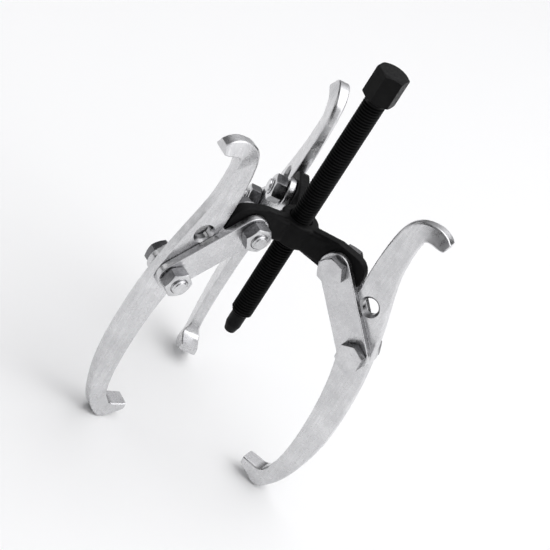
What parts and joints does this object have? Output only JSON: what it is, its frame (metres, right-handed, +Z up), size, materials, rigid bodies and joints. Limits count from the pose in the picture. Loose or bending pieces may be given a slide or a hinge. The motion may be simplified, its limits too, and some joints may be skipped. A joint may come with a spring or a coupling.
{
  "type": "gear puller",
  "caption": "Reversible jaw gear puller: black yoke and forcing screw, zinc-plated hooked jaws on bolted links, hex head on top.",
  "frame": {"origin": "centre of the pressure tip's end face", "axes": "+Z up the forcing screw's axis to its hex head; +X out along arm 1; arms 2 and 3 at 120 and 240 degrees"},
  "size_m": [0.1478, 0.1605, 0.2804],
  "materials": {
    "yoke_black": "satin black",
    "screw_black": "oiled black oxide",
    "tip_steel": "hardened, blackened",
    "spring_steel": "bright spring steel",
    "jaw_zinc": "bright plating over a forged surface",
    "link_zinc": "bright plating over smooth strap",
    "bolt_zinc": "bright zinc plating"
  },
  "bodies": {
    "yoke": {"yoke": "yoke_black"},
    "tip": {"pressure_tip": "tip_steel", "tip_snap_ring": "spring_steel"},
    "screw": {"forcing_screw": "screw_black"},
    "links_1": {"link_1a": "link_zinc", "link_1b": "link_zinc", "yoke_bolt_1": "bolt_zinc", "yoke_nut_1": "bolt_zinc", "jaw_bolt_1": "bolt_zinc", "jaw_nut_1": "bolt_zinc"},
    "jaw_1": {"jaw_1": "jaw_zinc"},
    "links_2": {"link_2a": "link_zinc", "link_2b": "link_zinc", "yoke_bolt_2": "bolt_zinc", "yoke_nut_2": "bolt_zinc", "jaw_bolt_2": "bolt_zinc", "jaw_nut_2": "bolt_zinc"},
    "jaw_2": {"jaw_2": "jaw_zinc"},
    "links_3": {"link_3a": "link_zinc", "link_3b": "link_zinc", "yoke_bolt_3": "bolt_zinc", "yoke_nut_3": "bolt_zinc", "jaw_bolt_3": "bolt_zinc", "jaw_nut_3": "bolt_zinc"},
    "jaw_3": {"jaw_3": "jaw_zinc"}
  },
  "joints": [
    {"name": "screw_advance", "type": "slide", "parent": "yoke", "child": "tip", "axis": [0, 0, -1], "range_m": [-0.056, 0.084]},
    {"name": "screw_turn", "type": "hinge", "parent": "tip", "child": "screw", "pos_m": [0, 0, 0], "axis": [0, 0, -1], "range_deg": [-10080, 15120]},
    {"name": "link_swing_1", "type": "hinge", "parent": "yoke", "child": "links_1", "pos_m": [0.0362, 0, 0.085], "axis": [0, -1, 0], "range_deg": [-18.1, 44.4]},
    {"name": "link_swing_2", "type": "hinge", "parent": "yoke", "child": "links_2", "pos_m": [-0.0181, 0.03135, 0.085], "axis": [0.866, 0.5, 0], "range_deg": [-20.4, 42.1]},
    {"name": "link_swing_3", "type": "hinge", "parent": "yoke", "child": "links_3", "pos_m": [-0.0181, -0.03135, 0.085], "axis": [-0.866, 0.5, 0], "range_deg": [-15.3, 47.2]},
    {"name": "jaw_swing_1", "type": "hinge", "parent": "links_1", "child": "jaw_1", "pos_m": [0.07478, 0, 0.04722], "axis": [0, 1, 0], "range_deg": [-1, 40]},
    {"name": "jaw_swing_2", "type": "hinge", "parent": "links_2", "child": "jaw_2", "pos_m": [-0.03813, 0.06605, 0.0488], "axis": [-0.866, -0.5, 0], "range_deg": [-2.8, 40]},
    {"name": "jaw_swing_3", "type": "hinge", "parent": "links_3", "child": "jaw_3", "pos_m": [-0.03644, -0.06312, 0.04538], "axis": [0.866, -0.5, 0], "range_deg": [-0.6, 40]}
  ],
  "couplings": [
    {"joint": "screw_turn", "follows": "screw_advance", "rad_per_m": 3141.6}
  ]
}
